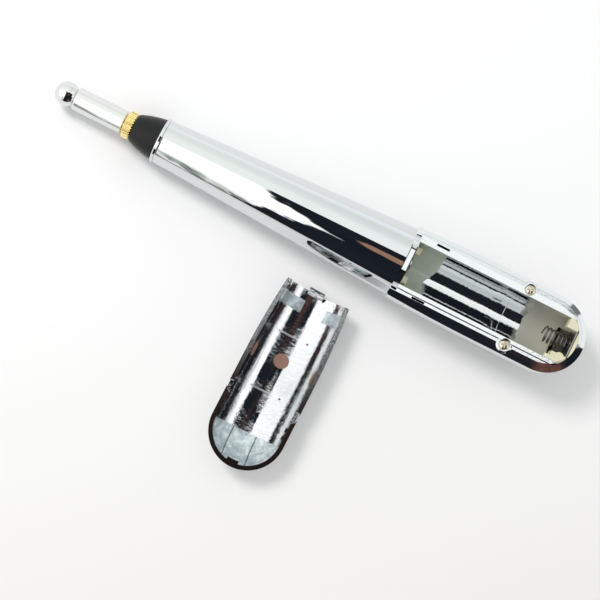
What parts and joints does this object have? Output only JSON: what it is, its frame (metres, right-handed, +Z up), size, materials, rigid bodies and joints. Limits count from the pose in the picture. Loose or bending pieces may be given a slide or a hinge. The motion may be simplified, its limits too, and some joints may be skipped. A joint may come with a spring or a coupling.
{
  "type": "electronic massage pen",
  "caption": "Chrome-plated electronic point-massage pen: ball-ended probe on a knurled brass union, black nose, tapered barrel, open bay for a round cell, cover lying beside it.",
  "frame": {"origin": "centre of the flat face of the control panel, the face that the pen rests on", "axes": "+X from the probe's ball towards the rear end, +Z up out of the open battery bay, +Y away from the side where the cover lies"},
  "size_m": [0.185, 0.0946, 0.024],
  "materials": {
    "chrome_barrel": "bright chrome plating on ABS, mirror",
    "chrome_shell": "bright chrome plating on ABS, mirror",
    "chrome_tray": "chrome plating, left bare grey-green at both ends of the trough",
    "chrome_trim": "bright chrome",
    "chrome_probe": "polished chrome on brass",
    "chrome_cover": "chrome plating, slightly cloudy in the rear cap",
    "brown_disc": "dull brown",
    "brass": "machined, bright",
    "black_gloss": "moulded, glossy",
    "black_panel": "moulded, satin",
    "dial_black": "moulded, ribbed",
    "cream_plastic": "moulded natural ABS",
    "contact_steel": "nickel-plated strip",
    "spring_steel": "dark spring wire",
    "screw_nickel": "yellowish nickel plating",
    "board_green": "solder mask",
    "component_black": "moulded package",
    "ferrite": "sintered ferrite",
    "can_aluminium": "drawn can",
    "led_red": "tinted epoxy",
    "clear_lens": "clear moulding",
    "lead_red": "PVC sleeve",
    "lead_black": "PVC sleeve",
    "lead_yellow": "PVC sleeve"
  },
  "bodies": {
    "body": {"barrel_upper": "chrome_barrel", "lower_shell": "chrome_shell", "battery_tray": "chrome_tray", "tray_screws": "screw_nickel", "contact_carrier": "cream_plastic", "negative_plate": "contact_steel", "contact_spring": "spring_steel", "front_contact_holder": "cream_plastic", "positive_contact": "contact_steel", "nose_cone": "black_gloss", "nose_ring": "chrome_trim", "probe_socket": "brass", "control_panel": "black_panel", "dial_switch": "component_black", "circuit_board": "board_green", "board_screws": "screw_nickel", "pulse_transformer": "ferrite", "reservoir_capacitor": "can_aluminium", "driver_chip": "component_black", "indicator_led": "led_red", "light_pipe": "clear_lens", "battery_lead_positive": "lead_red", "battery_lead_negative": "lead_black", "output_lead": "lead_yellow", "body_contact_leaf": "contact_steel"},
    "probe": {"probe_ball": "chrome_probe", "probe_sleeve": "chrome_probe"},
    "collar": {"knurled_collar": "brass", "threaded_stud": "brass"},
    "dial": {"intensity_dial": "dial_black"},
    "cover": {"battery_cover": "chrome_cover", "cover_disc": "brown_disc"}
  },
  "joints": [
    {"name": "probe_unscrew", "type": "slide", "parent": "body", "child": "probe", "axis": [-0.9982, 0, -0.0593], "range_m": [0, 0.005]},
    {"name": "collar_turn", "type": "hinge", "parent": "probe", "child": "collar", "pos_m": [-0.0561, 0, 0.00678], "axis": [-0.9982, 0, -0.0593], "range_deg": [0, 3600]},
    {"name": "dial_turn", "type": "hinge", "parent": "body", "child": "dial", "pos_m": [-0.02177, 0, 0.00554], "axis": [0, 1, 0], "range_deg": [0, 270]},
    {"name": "cover_swing", "type": "hinge", "parent": "body", "child": "cover", "pos_m": [0.0105, 0.01068, 0.01192], "axis": [-0.7014, 0.7125, -0.0208], "range_deg": [0, 177.58]}
  ],
  "couplings": [
    {"joint": "collar_turn", "follows": "probe_unscrew", "rad_per_m": 12566}
  ]
}
